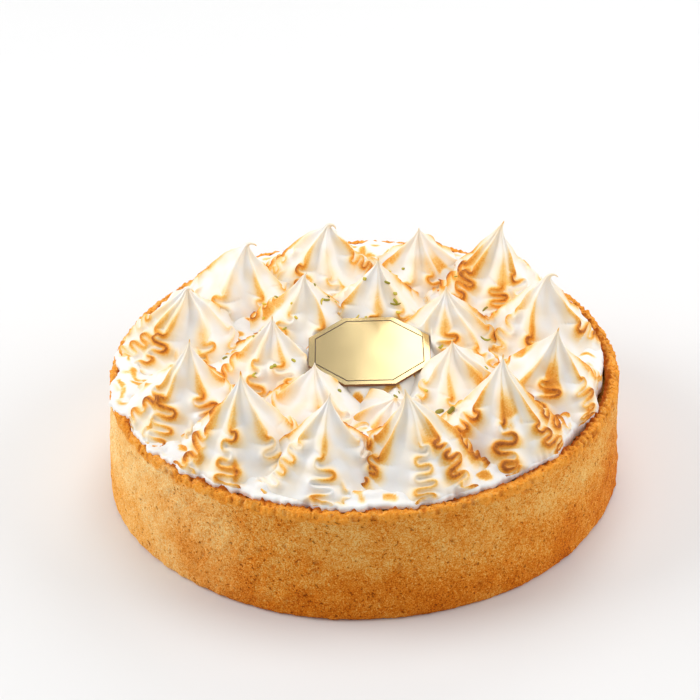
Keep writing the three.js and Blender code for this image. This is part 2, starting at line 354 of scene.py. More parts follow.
# %% [markdown]
# ## Torched meringue
#
# Raw meringue is white with a soft sheen, and a little light goes through it. The torch
# turns it cream, then amber, then brown, first where a ridge stands up into the flame. How
# far each point was toasted is worked out with the shape and kept at the points as "toast".
# The material only turns that number into colour, and roughens it with fine grain, because
# browned sugar is speckled.

# %% Meringue finish
def meringue_finish():
    """White meringue that turns cream, amber and brown where the torch reached it."""
    finish = Finish("torched_meringue")
    toast = finish.painted("toast")
    grain = finish.noise(0.8, detail=3, roughness=0.7)
    cloud = finish.noise(3.4, detail=2)
    browned = toast * (0.66 + 0.60 * cloud) + (grain - 0.5) * 0.75 * toast.between(0.10, 0.5)
    colour = finish.ramp(browned, [
        (0.00, "F3F1EE"), (0.12, "FAE8C9"), (0.30, "F9C76C"),
        (0.52, "EE9E2C"), (0.76, "D9841F"), (1.00, "A25812")])
    relief = grain * toast.between(0.2, 0.7) * 0.4 + finish.noise(3.0) * 0.5
    return finish.set(
        Base_Color=colour,
        Roughness=0.42 + 0.2 * toast.between(0.1, 0.6),
        Normal=finish.bump(relief, 0.25, 0.5),
        Subsurface_Weight=0.12,
        Subsurface_Radius=(1.0, 0.8, 0.6),
        Subsurface_Scale=1.5 * MM,
        Specular_IOR_Level=0.35,
    )


torched_meringue = meringue_finish()
print("meringue finish:", len(torched_meringue.node_tree.nodes), "nodes")

# %% [markdown]
# ## The piped kisses
#
# Each kiss was piped by hand, so each has its own place, height, lean and tip. The list says
# how: turn and out place it on the pie, tall and wide are its height above the rim and the
# radius of its foot, lean and towards say where the tip reaches, and hook how far the tip
# curls over. torch says how strongly the flame caught it. Lengths are in millimetres, turns
# in degrees.

# %% The kisses, one by one
KISS_FIELDS = ("turn", "out", "tall", "wide", "lean", "towards", "hook", "torch")
KISSES = [dict(zip(KISS_FIELDS, numbers)) for numbers in [
    (341, 89, 38, 29, 5, 335, 0, 0.95),
    (13, 88, 40, 29, 3, 10, 130, 0.9),
    (43, 89, 42, 29, 4, 20, 20, 0.95),
    (70, 85, 31, 28, 3, 270, 0, 0.85),
    (103, 84, 36, 29, 4, 350, 150, 0.85),
    (135, 86, 38, 29, 7, 0, 110, 0.75),
    (163, 89, 35, 30, 4, 320, 120, 0.75),
    (204, 88, 38, 30, 3, 30, 0, 0.85),
    (232, 87, 41, 29, 2, 90, 0, 1.35),
    (258, 86, 39, 28, 4, 30, 0, 0.85),
    (285, 86, 40, 29, 5, 160, 0, 1.0),
    (314, 87, 42, 29, 4, 75, 0, 1.05),
    (22, 43, 32, 28, 1, 90, 0, 0.85),
    (80, 43, 34, 28, 1, 0, 0, 0.75),
    (132, 44, 33, 28, 2, 0, 30, 0.7),
    (188, 43, 32, 28, 1, 0, 0, 0.7),
    (241, 47, 27, 28, 2, 60, 0, 0.6),
    (286, 47, 13, 26, 3, 300, 0, 0.55),
    (328, 50, 30, 28, 2, 200, 0, 0.75),
]]
FEWEST_RIDGES, MOST_RIDGES = 6, 8  # how many of the star nozzle's ridges stayed clear
KISS_COLUMNS = 250
KISS_ROWS = 92
KISS_SINK = 4.0  # how far a kiss runs down into the bed, mm
print(len(KISSES), "kisses,", KISS_COLUMNS * KISS_ROWS, "faces each")

# %% [markdown]
# ### Where the meringue ends
#
# The kisses were piped right up to the rim, where they were squeezed together and here and
# there sagged over it. So one rule gives the edge of the meringue at each angle, and both
# the kisses and the bed between them keep to it.

# %% Edge of the meringue
# Where the meringue has sagged over the rim: turn in degrees, reach in mm, half width in degrees.
SAGS = [(192, 3.6, 10), (172, 3.2, 8), (216, 2.8, 12), (243, 1.2, 9), (284, 1.0, 12)]


def turn_apart(angle, turn):
    """Degrees between angles in radians and one turn in degrees."""
    return (np.degrees(angle) - turn + 180) % 360 - 180


def right_side(angle):
    """1 at the right of the pie, where the rim stayed bare, and 0 elsewhere."""
    return smooth(0.72, 0.92, np.cos(angle + 0.1))


def foot_of(kiss):
    """Where the middle of a kiss stands on the pie."""
    turn = math.radians(kiss["turn"])
    return kiss["out"] * np.array([math.cos(turn), math.sin(turn)])


def meringue_edge(angle):
    """How far the meringue reaches: over the rim on the left, short of it on the right."""
    ring = np.column_stack([np.cos(angle), np.sin(angle), np.zeros(len(angle))]) * MERINGUE_RADIUS
    edge = MERINGUE_RADIUS + 1.4 - 1.8 * right_side(angle)
    edge += 1.1 * lumps(ring, 26, 14) + 0.7 * lumps(ring, 9, 15) + 0.4 * lumps(ring, 4, 16)
    sags = [reach * np.exp(-((turn_apart(angle, turn) / width) ** 4)) for turn, reach, width in SAGS]
    return edge + np.max(sags, axis=0)


four_sides = np.radians([0, 90, 180, 270])
print("edge at the right, far, left and near side, mm:", meringue_edge(four_sides).round(1))

# %% [markdown]
# ### A blank for a kiss
#
# A kiss is a cone that has been shaped, so the blank is a cone primitive of unit size. Only
# its upright edges are selected and subdivided, which cuts it into level rings. The
# smallest ring is merged into one point, so the tip is closed. The blank is made once, and
# each kiss starts from a copy of it.

# %% Blank
TINY_TIP = 0.004  # radius of the blank's tip before it is closed


def kiss_blank():
    """A cone one millimetre high, cut into level rings and closed at its tip."""
    start_clean()
    bpy.ops.mesh.primitive_cone_add(
        vertices=KISS_COLUMNS, radius1=MM, radius2=TINY_TIP * MM, depth=MM, location=(0, 0, MM / 2))
    bpy.ops.object.transform_apply(location=True, rotation=True, scale=True)
    blank = bpy.context.object
    select_edges(blank, lambda a, b: abs(a[2] - b[2]) > 0.5)
    bpy.ops.mesh.subdivide(number_cuts=KISS_ROWS - 1)
    select_edges(blank, lambda a, b: min(a[2], b[2]) > 0.9999)
    bpy.ops.mesh.merge(type="CENTER")
    bpy.ops.object.mode_set(mode="OBJECT")
    return blank


blank = kiss_blank()
print("blank:", len(blank.data.vertices), "points")

# %% [markdown]
# ### The side of a kiss
#
# From the tip down, a kiss is thin and hollow like the end of a bell, then full, and it
# spreads a little where it meets the bed. Tips that curl right over are drawn out thinner.

# %% Flank
FLANK_POINTS = 240
FOOT_SWELL = 5.0  # how much wider the foot spreads on the bed, mm
STRONG_HOOK = 60  # tips that curl over by more than this are thin, degrees


def flank_of(kiss):
    """The side of a kiss from the tip down: share of height, radius and length along it."""
    below = np.linspace(0, 1 + KISS_SINK / kiss["tall"], FLANK_POINTS)
    share = np.minimum(below, 1)
    radius = kiss["wide"] * 1.03 * share ** 1.6 * (1.52 - 0.52 * share)
    radius += FOOT_SWELL * smooth(0.82, 1.02, below)
    radius *= 1 - 0.08 * smooth(1.0, 1.1, below)
    if kiss["hook"] > STRONG_HOOK:
        radius *= 1 - 0.45 * (1 - smooth(0.05, 0.4, below))
    steps = np.hypot(np.diff(radius), np.diff(below * kiss["tall"]))
    return below, radius, np.concatenate([[0], np.cumsum(steps)])


print("longest flank, mm:", round(max(flank_of(kiss)[2][-1] for kiss in KISSES)))

# %% [markdown]
# ### Folds
#
# Near the foot the meringue is pushed together, and each ridge folds into a row of S-bends.
# So a fold is a line that swings from side to side on its way down, with a small backward
# swing that makes the bends round. The flame came from one side, so the bends on that side
# are browned and the others hardly.

# %% Folds
BEND_EVERY = (2.5, 4.8)  # how far one bend lies below the last, mm
BEND_REACH = (2.2, 6.4)  # how far a bend swings to the side, mm
BEND_ROUND = (0.12, 0.22)  # share of a bend by which the line swings back
HOT_BENDS, COOL_BENDS = (0.85, 1.45), (-0.1, 0.5)  # toast on the two sides
POINTS_PER_BEND = 26


def folds(start, end, random):
    """S-bends from start to end, mm down the flank: length down, swing and toast of the line."""
    turns, swings, heats = [start - 5, start], [0, 0], [0.9, 1.0]
    side = random.choice([-1, 1])
    hot = random.choice([-1, 1])
    while turns[-1] < end:
        turns.append(turns[-1] + random.uniform(*BEND_EVERY))
        swings.append(side * random.uniform(*BEND_REACH))
        heats.append(random.uniform(*(HOT_BENDS if side == hot else COOL_BENDS)))
        hot *= random.choice([1, 1, 1, -1])
        side = -side
    at = np.linspace(0, len(turns) - 1.001, POINTS_PER_BEND * len(turns))
    i = at.astype(int)
    share = at - i
    turns, swings, heats = np.array(turns), np.array(swings), np.array(heats)
    ease = (1 - np.cos(math.pi * share)) / 2
    back = random.uniform(*BEND_ROUND)
    down = turns[i] + (turns[i + 1] - turns[i]) * (share + back * np.sin(2 * math.pi * share))
    swing = swings[i] + (swings[i + 1] - swings[i]) * ease
    heat = heats[i] + (heats[i + 1] - heats[i]) * ease
    return down, swing, np.maximum(heat, 0)


def wavering(along, size, amount, random):
    """A width that changes at random along a line, by about the given amount."""
    first, second = random.uniform(0, 2 * math.pi, 2)
    rate = 2 * math.pi / size
    return 1 + amount * (np.sin(rate * along + first) + 0.7 * np.sin(2.3 * rate * along + second))

# %% [markdown]
# ### The ridges
#
# The star nozzle leaves six to eight clear ridges. As the nozzle is pulled up they are
# drawn out straight, and lower down they fold. So a ridge is drawn as a line on the
# unrolled cone, straight at first and then folded. The height of the surface then depends
# only on how far a point is from the nearest line: a narrow crest on the line itself, and a
# broad swell round it, with hollows left between the swells.

# %% Ridge lines
STRAIGHT_POINTS = 40
CREST_STRAIGHT = (1.0, 2.2)  # how high a crest stands where it is drawn out straight, mm
CREST_FOLDED = 2.7  # and where it is folded, mm
SWELL = (1.0, 3.2)  # how high the broad swell round a ridge stands, mm
CAUGHT = [0.3, 0.5, 0.8, 0.95, 1.05, 1.15]  # how strongly the flame may have caught a ridge


def ridge_lines(kiss, flank, random):
    """The ridges as lines, each with its place, heights, widths and toast at every point."""
    below, radius, along = flank
    length = along[-1]
    lines = []
    twist = random.normal(0, 0.3)
    ridges = random.integers(FEWEST_RIDGES, MOST_RIDGES + 1)
    for k in range(ridges):
        angle = 2 * math.pi * (k + random.uniform(-0.28, 0.28)) / ridges
        bend_start = random.uniform(0.40, 0.58) * length
        down, swing, heat = folds(bend_start, length, random)
        straight = np.linspace(0.6, down[0], STRAIGHT_POINTS, endpoint=False)
        down = np.concatenate([straight, down])
        swing = np.concatenate([np.zeros(STRAIGHT_POINTS), swing])
        heat = np.concatenate([np.full(STRAIGHT_POINTS, 0.9), heat])
        drift = random.uniform(-2.2, 2.2) * smooth(0.1 * length, bend_start, down)
        at = np.maximum(np.interp(down, along, radius), 0.6)
        folded = smooth(bend_start - 1.5, bend_start + 2.5, down)
        bulb = smooth(0.45 * bend_start, bend_start, down) * (1 - folded)
        crest = random.uniform(*CREST_STRAIGHT) * (1 - folded) + CREST_FOLDED * folded
        strength = kiss["torch"] * random.choice(CAUGHT)
        fade = (0.10 + 0.90 * smooth(0.3, 0.95, down / bend_start)) * (0.72 + 0.28 * folded)
        mark = 0.5 + random.uniform(0.8, 2.6) * bulb
        mark += 0.6 * folded * wavering(down, 8, 0.3, random)
        lines.append(dict(
            down=down,
            angle=angle + twist * smooth(0, 1, down / length) + (swing + drift) / at,
            height=crest * np.clip(at / 9, 0.05, 1),
            half=0.20 * np.minimum(at, 8) * (1 - 0.25 * folded) + 0.2,
            toast=strength * fade * heat,
            mark=mark,
            core=strength * (0.3 * bulb + folded) * heat,
            swell=random.uniform(*SWELL) * (1 - 0.5 * folded) * np.clip(at / 12, 0, 1),
        ))
        if random.uniform() < 0.6:
            lines.append(small_fold(angle + math.pi / ridges, kiss, flank, random))
    return lines

# %% [markdown]
# ### Small folds
#
# Between two ridges some meringue is squeezed out into a low fold of its own, which starts
# farther down. It is a line of the same kind, so it is pressed into the flank in the same
# way as the ridges.

# %% Small folds
CREST_SMALL = 1.9  # how high the crest of a small fold stands, mm


def small_fold(angle, kiss, flank, random):
    """A short, low fold that was squeezed out between two ridges near the foot."""
    below, radius, along = flank
    down, swing, heat = folds(random.uniform(0.62, 0.8) * along[-1], along[-1], random)
    at = np.interp(down, along, radius)
    rise = smooth(down[0], down[0] + 6, down)
    strength = kiss["torch"] * random.uniform(0.1, 0.8)
    return dict(
        down=down,
        angle=angle + 0.5 * swing / at,
        height=CREST_SMALL * rise,
        half=np.full(len(down), 0.9),
        toast=strength * heat * rise,
        mark=0.7 + 0.5 * rise * wavering(down, 8, 0.3, random),
        core=0.8 * strength * heat * rise,
        swell=np.zeros(len(down)),
    )

# %% [markdown]
# ### Leaning, pressing and squeezing
#
# A kiss is shaped upright and then put in its place by three rules. It leans, and its tip
# may curl over. Under the card it is pressed flat. And its foot is squeezed up against the
# rim where the meringue ends.

# %% Putting a kiss in its place
LEAN_STEPS = 60
CARD_GAP = 0.4  # how far the pressed meringue stays below the card, mm
FREE_HEIGHT = 60  # how much higher it may stand beside the card, mm
SOFT_EDGE = 4.0  # over what width a foot is squeezed together, mm


def bend_over(points, kiss):
    """Leans a kiss steadily over its height, and curls the last fifth by the hook angle."""
    share = np.linspace(0, 1, LEAN_STEPS + 1)
    tilt = math.atan2(kiss["lean"], kiss["tall"] / 2) * share
    tilt += math.radians(kiss["hook"]) * smooth(0.8, 1, share)
    step = kiss["tall"] / LEAN_STEPS
    out = np.concatenate([[0], np.cumsum(step * np.sin(tilt[1:]))])
    up = np.concatenate([[0], np.cumsum(step * np.cos(tilt[1:]))])
    towards = math.radians(kiss["towards"])
    side = np.array([math.cos(towards), math.sin(towards)])
    across = np.array([-side[1], side[0]])
    height = np.clip(points[:, 2] / kiss["tall"], 0, 1)
    over = points[:, 2] - height * kiss["tall"]
    u, v = points[:, :2] @ side, points[:, :2] @ across
    lean = np.interp(height, share, tilt)
    reach = np.interp(height, share, out) + u * np.cos(lean) + over * np.sin(lean)
    bent = np.outer(reach, side) + np.outer(v, across)
    level = np.interp(height, share, up) - u * np.sin(lean) + over * np.cos(lean)
    return np.column_stack([bent, level])


def under_card(points):
    """Presses down whatever would stand up through the card."""
    apart = points[:, :2] - CARD_CENTRE
    headings = np.arange(8) * math.pi / 4
    reach = (apart @ np.array([np.cos(headings), np.sin(headings)])).max(axis=1)
    level = CARD_UNDERSIDE - CARD_GAP + FREE_HEIGHT * smooth(0.3, 3.2, reach - CARD_ACROSS / 2)
    return np.column_stack([points[:, :2], np.minimum(points[:, 2], level)])


def inside_rim(points):
    """Squeezes the foot of a kiss up against the rim, so that it ends at the meringue's edge."""
    radius = np.hypot(points[:, 0], points[:, 1])
    free = meringue_edge(np.arctan2(points[:, 1], points[:, 0])) - SOFT_EDGE
    squeezed = free + SOFT_EDGE * np.tanh(np.maximum(radius - free, 0) / SOFT_EDGE)
    scale = np.where(radius > free, squeezed / np.maximum(radius, 1), 1)
    return np.column_stack([points[:, :2] * scale[:, None], points[:, 2]])

# %% [markdown]
# ### Relief and toast
#
# Every point of the blank looks for the nearest point of each ridge line. Its distance
# gives how far it stands out, and how brown it is: a thin dark core right on a folded
# crest, an amber body round it and a cream glow farther off, wider on the lower side of the
# line. On a few kisses the flame also caught the hollows between the ridges.

# %% Relief and toast
def wrapped(turn):
    """The same turn, between minus and plus half a circle."""
    return (turn + math.pi) % (2 * math.pi) - math.pi


def press_ridges(lines, start, angle, down, at):
    """Crest height, swell height, toast and glow that the ridges give to each point."""
    relief, swell, toast, glow = np.zeros((4, len(angle)))
    spacing = np.maximum(at, 1) * math.pi / MOST_RIDGES
    for line in lines:
        turn = wrapped(angle[:, None] - (line["angle"] + start)[None, :])
        apart = np.hypot(turn * np.maximum(at, 0.4)[:, None], down[:, None] - line["down"][None, :])
        nearest = apart.argmin(axis=1)
        away = apart[np.arange(len(angle)), nearest]
        crest = line["height"][nearest] / (1 + (away / line["half"][nearest]) ** 2)
        relief = np.maximum(relief, crest) + 0.35 * np.minimum(relief, crest)
        swell += (line["swell"][nearest] * np.exp(-((away / spacing) ** 2) * 1.6)) ** 3
        mark, heat = line["mark"][nearest], line["toast"][nearest]
        body = 0.50 * heat * np.exp(-((away / mark) ** 3))
        core = 1.05 * line["core"][nearest] * np.exp(-((away / 0.72) ** 2))
        toast = np.maximum(np.maximum(toast, body), core)
        under = smooth(-1.5, 1.5, down - line["down"][nearest])
        glow += 0.28 * heat * np.exp(-((away / (1.2 + mark + 1.7 * under)) ** 2))
    return relief, np.cbrt(swell), toast, np.minimum(glow, 0.34)


def amber_patches(kiss, start, angle, down, at, length, seed, random):
    """Toast in the few hollows that the flame caught, more of them where it burned longer."""
    toast = np.zeros(len(angle))
    for k in range(MOST_RIDGES):
        if random.uniform() > 0.2 * kiss["torch"] ** 3:
            continue
        turn = wrapped(angle - (start + 2 * math.pi * (k + 0.5) / MOST_RIDGES))
        across = np.abs(turn) / (math.pi / MOST_RIDGES)
        reach = random.uniform(0.42, 0.56) * length
        reach = reach + 2.5 * lumps(np.column_stack([at * turn, down, at]), 9, seed)
        patch = smooth(0.95, 0.45, across) * smooth(0.18, 0.50, down / length)
        patch = patch * smooth(2.5, -2.5, down - reach)
        toast = np.maximum(toast, patch * kiss["torch"] * random.uniform(0.35, 0.6))
    return toast

# %% [markdown]
# ### Shaping the kisses
#
# Every point of the blank is sent to its place on the flank and pushed out along the
# flank's normal by its relief. The whole flank is sunk by as much as the hollows are deep,
# so that the crests and not the hollows keep the size of the solid.

# %% Kisses
HOLLOW = 2.6  # how deep the hollows between the swells lie, mm
UNEVEN = 0.35  # how uneven the flank is, mm
TIPS_TOASTED = 0.6  # share of the tips that the flame caught


def shape_kiss(piece, kiss, seed):
    """Gives a copy of the blank the form of one kiss, and paints how toasted it is."""
    random = np.random.default_rng(seed)
    points = points_of(piece)
    angle = np.arctan2(points[:, 1], points[:, 0])
    flank = below, radius, along = flank_of(kiss)
    length = along[-1]
    down = np.clip(1 - points[:, 2], 0, 1) * length
    at = np.interp(down, along, radius)
    level = np.interp(down, along, kiss["tall"] * (1 - below))
    slope = np.arctan2(np.gradient(radius, along), np.gradient(kiss["tall"] * below, along))
    lie = np.interp(down, along, slope)
    start = random.uniform(0, 2 * math.pi)
    lines = ridge_lines(kiss, flank, random)
    relief, swell, toast, glow = press_ridges(lines, start, angle, down, at)
    patches = amber_patches(kiss, start, angle, down, at, length, seed, random)
    toast = np.maximum(toast, patches) + glow + 0.02 + 0.03 * lumps(points * length, 15, seed)
    toast *= smooth(length - 2, length - 9, down + 3 * lumps(points * length, 12, seed + 50))
    if random.uniform() < TIPS_TOASTED:
        toast = np.maximum(toast, 0.4 * kiss["torch"] * smooth(3.2, 0.8, down))
    base = np.array([*foot_of(kiss), RIM_TOP])
    flank_points = np.column_stack([at * np.cos(angle), at * np.sin(angle), level])
    full = np.clip(at / 12, 0, 1)
    relief = relief * smooth(length - 2, length - 8, down) + swell - HOLLOW * full
    relief += UNEVEN * lumps(flank_points + base, 14, 5) * full
    out = at + relief * np.cos(lie)
    upright = np.column_stack([out * np.cos(angle), out * np.sin(angle), level + relief * np.sin(lie)])
    move_points(piece, inside_rim(under_card(bend_over(upright, kiss) + base)))
    paint(piece, "toast", np.clip(toast, 0, 1))


kiss_pieces = []
for number, kiss in enumerate(KISSES, start=1):
    piece = blank.copy()
    piece.data = blank.data.copy()
    scene.collection.objects.link(piece)
    shape_kiss(piece, kiss, seed=100 + number)
    kiss_pieces.append(finish_piece(piece, f"kiss_{number:02d}", torched_meringue))
bpy.data.objects.remove(blank)
print("kisses piped:", len(kiss_pieces))

# %% [markdown]
# ## The bed of meringue
#
# Between the kisses and the rim shows the bed they were piped on: a white layer that swells
# round the foot of each kiss and ends in a rolled edge on the crust. It is a flat disc of
# rings: a circle is extruded inwards ring by ring, and a rule then lifts every point.

# %% Bed blank
BED_COLUMNS = 720
BED_ROWS = 110


def bed_blank():
    """A flat disc of rings, one millimetre in radius."""
    start_clean()
    bpy.ops.mesh.primitive_circle_add(vertices=BED_COLUMNS, radius=MM, fill_type="NOTHING")
    disc = bpy.context.object
    bpy.ops.object.mode_set(mode="EDIT")
    bpy.ops.mesh.select_all(action="SELECT")
    for row in range(BED_ROWS - 1):
        shrink = (BED_ROWS - 1 - row) / (BED_ROWS - row)
        bpy.ops.mesh.extrude_edges_move()
        bpy.ops.transform.resize(value=(shrink, shrink, 1))
    bpy.ops.mesh.merge(type="CENTER")
    bpy.ops.mesh.select_all(action="SELECT")
    bpy.ops.mesh.normals_make_consistent(inside=False)
    bpy.ops.object.mode_set(mode="OBJECT")
    return disc


bed = bed_blank()
print("bed:", len(bed.data.polygons), "faces")

# %% [markdown]
# ### Relief and toast of the bed
#
# The rules below work on how far inside the edge a point lies, in millimetres. The bed is
# smooth along most of its edge and torn where it sagged over the rim at the left. The
# torch left amber spots on its lumps, and ripples on the far side, where it was pushed
# together.

# %% Rules for the bed
KISS_SWELL = 1.4  # how high the bed swells round the foot of a kiss, mm
SEAT_RADIUS = 31  # radius of the flattened kiss that the card lies on, mm


def bed_relief(where, angle, inside):
    """How uneven the bed lies: swollen round each kiss, lumpy farther in, torn at the edge."""
    relief = np.zeros(len(angle))
    for kiss in KISSES:
        away = np.hypot(*(where[:, :2] - foot_of(kiss)).T) - 1.1 * kiss["wide"]
        relief += KISS_SWELL * np.exp(-(np.maximum(away, 0) / 4.0) ** 2)
    relief *= smooth(2, 9, inside)
    soft = 1.0 * lumps(where, 20, 11) + 0.45 * lumps(where, 9, 12)
    relief += soft * (0.2 + 0.8 * smooth(3, 12, inside))
    torn = 0.15 + 0.85 * np.exp(-((turn_apart(angle, 210) / 24) ** 2))
    fine = 0.45 * lumps(where, 4.5, 13, 14) + 0.35 * lumps(where, 2.2, 17, 18)
    return relief + fine * torn * smooth(12, 2, inside)


def with_card_seat(height, where):
    """Raises the flattened kiss that the card lies on, and keeps it clear of the card."""
    x, y = (where[:, :2] - CARD_CENTRE).T
    away = np.hypot(x, y)
    edge = SEAT_RADIUS + 1.2 * np.sin(10 * np.arctan2(y, x))
    room = CARD_UNDERSIDE - 0.6 - RIM_TOP
    height = np.maximum(height, RIM_TOP + room * (1 - smooth(edge - 4, edge + 5, away)))
    return np.where(away < SEAT_RADIUS + 1, np.minimum(height, CARD_UNDERSIDE - 0.5), height)


def bed_toast(where, angle, inside):
    """Amber spots on the lumps, and thin ripples on the far side."""
    spots = smooth(0.4, 1.2, lumps(where, 9, 21)) * (0.42 + 0.2 * lumps(where, 30, 22))
    far_side = np.exp(-((turn_apart(angle, 140) / 80) ** 4))
    waves = np.sin(1.9 * lumps(where, 16, 24) + 9 * lumps(where, 60, 25)) + 0.2 * lumps(where, 5, 26)
    ripples = 0.55 * far_side * smooth(0.75, 1.0, waves) * smooth(1.5, 4, inside)
    return np.clip(np.maximum(spots * smooth(0, 6, inside), ripples), 0, 1)

# %% [markdown]
# ### Shaping the bed
#
# The outermost rings become the edge's own small wall, so it turns down onto the rim or
# into the shell.

# %% Shape of the bed
EDGE_WALL = 0.05  # share of the rings that turn down
EDGE_ROLL = 1.7  # how high the rolled edge stands above the rim, mm
EDGE_ROUND = 3.2  # over what width it is rounded, mm
EDGE_HIGHER = 3.0  # how much higher the edge lies than the bed farther in, mm


def shape_bed(disc):
    """Spreads the flat disc to the meringue's edge and lifts it to its height."""
    flat = points_of(disc)
    angle = np.arctan2(flat[:, 1], flat[:, 0])
    share = np.clip(np.hypot(flat[:, 0], flat[:, 1]), 0, 1)
    outer = meringue_edge(angle)
    radius = outer * np.minimum(share / (1 - EDGE_WALL), 1)
    inside = outer - radius
    where = np.column_stack([radius * np.cos(angle), radius * np.sin(angle), np.zeros(len(angle))])
    on_rim = smooth(-0.4, 0.6, outer - MERINGUE_RADIUS)
    rounding = np.clip(inside / EDGE_ROUND, 0, 1)
    height = RIM_TOP + 0.2 + EDGE_ROLL * np.sqrt(1 - (1 - rounding) ** 2)
    height += 0.8 * on_rim * (1 - rounding) - EDGE_HIGHER * smooth(6, 14, inside)
    height = with_card_seat(height + bed_relief(where, angle, inside), where)
    height -= smooth(1 - EDGE_WALL, 1, share) * (5.0 - 3.4 * on_rim)
    move_points(disc, np.column_stack([where[:, :2], height]))
    paint(disc, "toast", bed_toast(where, angle, inside))


shape_bed(bed)
finish_piece(bed, "meringue_bed", torched_meringue)
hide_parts("meringue")
print("bed:", round(np.ptp(points_of(bed)[:, 0])), "mm across")

# %% [markdown]
# ## Baked shortcrust
#
# The shell was pressed into a ring, so its side is nearly straight, with a sandy skin full
# of small pits. It is painted paler on the left, where the strongest light falls, which is
# painted light over the uneven bake, and it is browner towards the foot. Broad clouds give
# the uneven bake and fine noise the sandy crumb. Two numbers are kept at the points by the
# shape: "rim" where the browned rim begins, and a painted shade in the pits, grooves and
# crevices, including the crevice along the torn rim, where the crust is coloured darker.

# %% Crust finish
def crust_finish():
    """Sandy shortcrust with an uneven bake and a browned rim, with painted light on its left side and
    painted shadow in its pits, holes, grooves and crevices.
    """
    finish = Finish("baked_shortcrust")
    place = finish.place()
    across = finish.node("ShaderNodeSeparateXYZ", {}, {0: place}, output="X") / MM
    height = finish.node("ShaderNodeSeparateXYZ", {}, {0: place}, output="Z") / MM
    rim = finish.painted("rim")
    # The painted shade of the pits, grooves and crevices, kept at the points by the shell's shape.
    shade = finish.painted("shade")
    clouds = finish.noise(24, detail=3)
    patches = finish.noise(8, detail=3, roughness=0.6)
    sand = finish.noise(1.5, detail=3, roughness=0.7)
    grains = finish.noise(0.62, detail=2, roughness=0.7)
    holes = finish.noise(1.5, detail=1).between(0.68, 0.74)
    low = 1 - height.between(6, 40)
    bake = 0.36 * low + 1.0 * (clouds - 0.45) + 0.5 * (patches - 0.5)
    tone = 0.26 + 0.75 * bake + 0.85 * (sand - 0.5) + 1.75 * (grains - 0.5)
    deep = finish.ramp(tone, [
        (0.00, "F9CD7E"), (0.26, "EFA644"), (0.48, "E38218"), (0.72, "D06802"), (1.00, "863400")])
    pale_where_lit = finish.ramp(tone, [
        (0.00, "FFE9B2"), (0.33, "FECC7E"), (0.60, "FAB04C"), (0.85, "EA9028"), (1.00, "A45410")])
    # The left side is painted paler where the strongest light falls: painted light over the uneven bake.
    side = finish.mix(1 - (across + 20 * clouds).between(-110, -30), deep, pale_where_lit)
    rim_tone = 0.45 + 0.6 * (sand - 0.5) + 0.8 * (grains - 0.5) + 0.4 * (patches - 0.5)
    top = finish.ramp(rim_tone, [
        (0.10, "FFCE80"), (0.42, "FAA63A"), (0.68, "E68018"), (1.00, "983F06")])
    colour = finish.mix(rim, side, top)
    # The small bump holes are painted dark brown as well: painted shade in them.
    colour = finish.mix(0.6 * holes, colour, from_hex("7A3A08"))
    # The colour A84806 is painted shade, laid over the pits, grooves and crevices.
    colour = finish.mix(shade, colour, from_hex("A84806"))
    relief = sand * 0.5 + grains * 0.6 - holes * 0.6
    return finish.set(
        Base_Color=colour,
        Roughness=0.72 + 0.15 * sand,
        Normal=finish.bump(relief, 0.8, 0.9),
        Specular_IOR_Level=0.12,
    )


baked_shortcrust = crust_finish()
print("crust finish:", len(baked_shortcrust.node_tree.nodes), "nodes")

# %% [markdown]
# ## The shell
#
# The shell starts as a cylinder. The upright edges are subdivided for the side. Its top
# face is inset ring by ring over the width of the rim, and what is left of it is pushed
# down in two steps, which makes the hollow that the meringue fills.

# %% Shell blank
SHELL_COLUMNS = 1100
SIDE_ROWS = 56
RIM_ROWS = 20
HOLLOW_STEPS = (3, 4)  # how far the hollow is pushed down each time, mm


def shell_blank():
    """A smooth shell with a flat rim and enough points for crumbs and pits."""
    start_clean()
    bpy.ops.mesh.primitive_cylinder_add(
        vertices=SHELL_COLUMNS, radius=RIM_RADIUS * MM, depth=RIM_TOP * MM,
        location=(0, 0, RIM_TOP * MM / 2))
    bpy.ops.object.transform_apply(location=True, rotation=True, scale=True)
    shell = bpy.context.object
    select_edges(shell, lambda a, b: abs(a[2] - b[2]) > 1)
    bpy.ops.mesh.subdivide(number_cuts=SIDE_ROWS - 1)
    bpy.ops.mesh.select_mode(type="FACE")
    bpy.ops.mesh.select_all(action="DESELECT")
    bpy.ops.object.mode_set(mode="OBJECT")
    for face in shell.data.polygons:
        face.select = len(face.vertices) > 4 and face.center.z > RIM_TOP * MM / 2
    bpy.ops.object.mode_set(mode="EDIT")
    for row in range(RIM_ROWS):
        bpy.ops.mesh.inset(thickness=RIM_WIDTH * MM / RIM_ROWS, depth=0)
    for step in HOLLOW_STEPS:
        bpy.ops.mesh.extrude_region_move(TRANSFORM_OT_translate={"value": (0, 0, -step * MM)})
    bpy.ops.object.mode_set(mode="OBJECT")
    return shell


shell = shell_blank()
print("shell:", len(shell.data.polygons), "faces")

# %% [markdown]
# ### The side
#
# Baked dough settles. The side stands out a little at the foot, waves slowly from place to
# place and bulges at the left. Small pits are scattered over it: each point asks a search
# tree for the nearest pit and sinks if it lies inside.

# %% Side of the shell
PITS = 260
PIT_SIZES = (0.3, 1.1)  # mm
PIT_DEPTH = 0.7  # share of a pit's size that it is deep
FOOT_ROUND = 1.3  # how far the lower edge is rounded in, mm
LEFT_BULGE = 2.0  # how far the side bulges at the left, mm


def pit_depths(points, random):
    """How deep each point lies in one of the pits scattered over the side."""
    tree = KDTree(PITS)
    sizes = random.uniform(*PIT_SIZES, PITS)
    for i in range(PITS):
        turn, level = random.uniform(0, 2 * math.pi), random.uniform(1, RIM_TOP + 1)
        tree.insert((RIM_RADIUS * math.cos(turn), RIM_RADIUS * math.sin(turn), level), i)
    tree.balance()
    depth = np.zeros(len(points))
    for n, point in enumerate(points):
        _, i, away = tree.find(point)
        depth[n] = max(0.0, 1 - (away / (0.6 + sizes[i])) ** 2) * sizes[i]
    return depth


